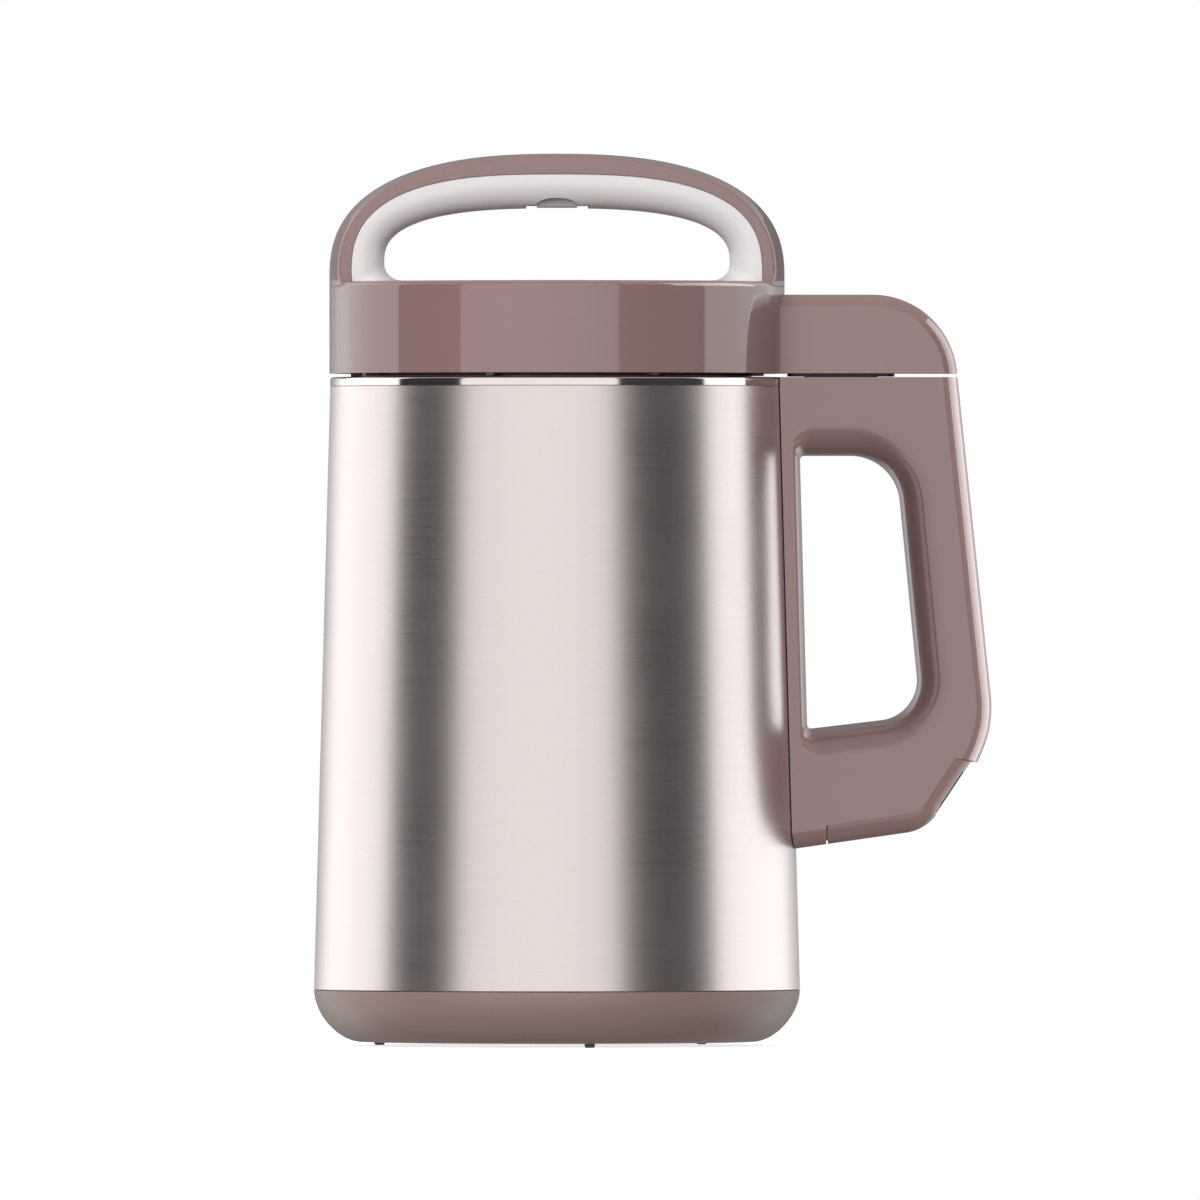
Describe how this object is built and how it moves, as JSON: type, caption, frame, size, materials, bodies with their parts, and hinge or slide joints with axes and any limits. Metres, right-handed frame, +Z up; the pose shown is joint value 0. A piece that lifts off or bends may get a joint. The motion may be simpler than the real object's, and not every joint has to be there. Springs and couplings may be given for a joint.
{
  "type": "soy milk maker",
  "caption": "Steel jug with a side handle and a lift-off motor head that carries a guarded blade, probes, a control panel and a carrying bail.",
  "frame": {"origin": "on the floor under the middle of the whole object's outline seen from above", "axes": "+Z up along the jug's axis, +X towards the handle, +Y to the back as the picture shows it"},
  "size_m": [0.2506, 0.1798, 0.33],
  "materials": {
    "brushed_steel": "brushed up and down, satin",
    "polished_steel": "drawn and polished",
    "dull_steel": "dull",
    "aluminium": "cast, matt",
    "brass": "plain",
    "copper_winding": "varnished copper wire",
    "carbon": "matt black carbon",
    "brown_gloss": "glossy metallic brown",
    "brown_base": "satin metallic brown",
    "silver_satin": "satin silver",
    "grey_plastic": "satin",
    "dark_plastic": "satin",
    "black_plastic": "satin",
    "button_plastic": "satin",
    "rubber": "matt",
    "silicone": "translucent matt",
    "board_green": "solder mask"
  },
  "bodies": {
    "jug": {"outer_shell": "brushed_steel", "inner_cup": "polished_steel", "base_cover": "brown_base", "base_screw_1": "dull_steel", "base_screw_2": "dull_steel", "base_screw_3": "dull_steel", "foot_1": "rubber", "foot_2": "rubber", "foot_3": "rubber", "heater_plate": "aluminium", "heater_tube": "dull_steel", "thermostat": "black_plastic", "heater_leads": "rubber", "handle_frame": "brown_gloss", "handle_spine_cover": "brown_gloss", "handle_backing_plate": "dull_steel", "handle_screw_upper": "dull_steel", "handle_screw_lower": "dull_steel", "coupler_socket": "dark_plastic", "socket_contact_1": "brass", "socket_contact_2": "brass", "socket_contact_3": "brass", "mains_inlet": "black_plastic", "inlet_pin_live": "brass", "inlet_pin_neutral": "brass", "inlet_pin_earth": "brass", "handle_wiring": "rubber"},
    "head": {"head_shell": "brown_gloss", "head_base": "brown_base", "bail_cover": "brown_gloss", "bail_liner": "silver_satin", "bail_plug": "grey_plastic", "control_panel": "dark_plastic", "control_board": "board_green", "motor_housing": "polished_steel", "housing_seal": "silicone", "motor_stator": "copper_winding", "motor_bracket_upper": "aluminium", "motor_bracket_lower": "aluminium", "upper_bearing": "dull_steel", "lower_bearing": "dull_steel", "carbon_brush_1": "carbon", "carbon_brush_2": "carbon", "shaft_seal": "rubber", "overflow_probe": "polished_steel", "temperature_probe": "polished_steel", "grinder_guard": "polished_steel", "coupler_plug": "dark_plastic", "coupler_pin_1": "brass", "coupler_pin_2": "brass", "coupler_pin_3": "brass"},
    "rotor": {"motor_shaft": "dull_steel", "armature": "copper_winding", "commutator": "copper_winding", "cooling_fan": "dark_plastic", "blade": "polished_steel", "blade_nut": "dull_steel"},
    "grain_button": {"grain_button": "button_plastic"},
    "bean_button": {"bean_button": "button_plastic"},
    "start_button": {"start_button": "button_plastic"}
  },
  "joints": [
    {"name": "head_lift", "type": "slide", "parent": "jug", "child": "head", "axis": [0, 0, 1], "range_m": [0, 0.195]},
    {"name": "blade_spin", "type": "hinge", "parent": "head", "child": "rotor", "pos_m": [-0.03542, 0, 0.0747], "axis": [0, 0, 1], "continuous": true},
    {"name": "grain_button_press", "type": "slide", "parent": "head", "child": "grain_button", "axis": [0, 0, -1], "range_m": [0, 0.0004], "stiffness_N_per_m": 2000, "springref_m": -0.0002},
    {"name": "bean_button_press", "type": "slide", "parent": "head", "child": "bean_button", "axis": [0, 0, -1], "range_m": [0, 0.0004], "stiffness_N_per_m": 2000, "springref_m": -0.0002},
    {"name": "start_button_press", "type": "slide", "parent": "head", "child": "start_button", "axis": [0, 0, -1], "range_m": [0, 0.0004], "stiffness_N_per_m": 2000, "springref_m": -0.0002}
  ]
}
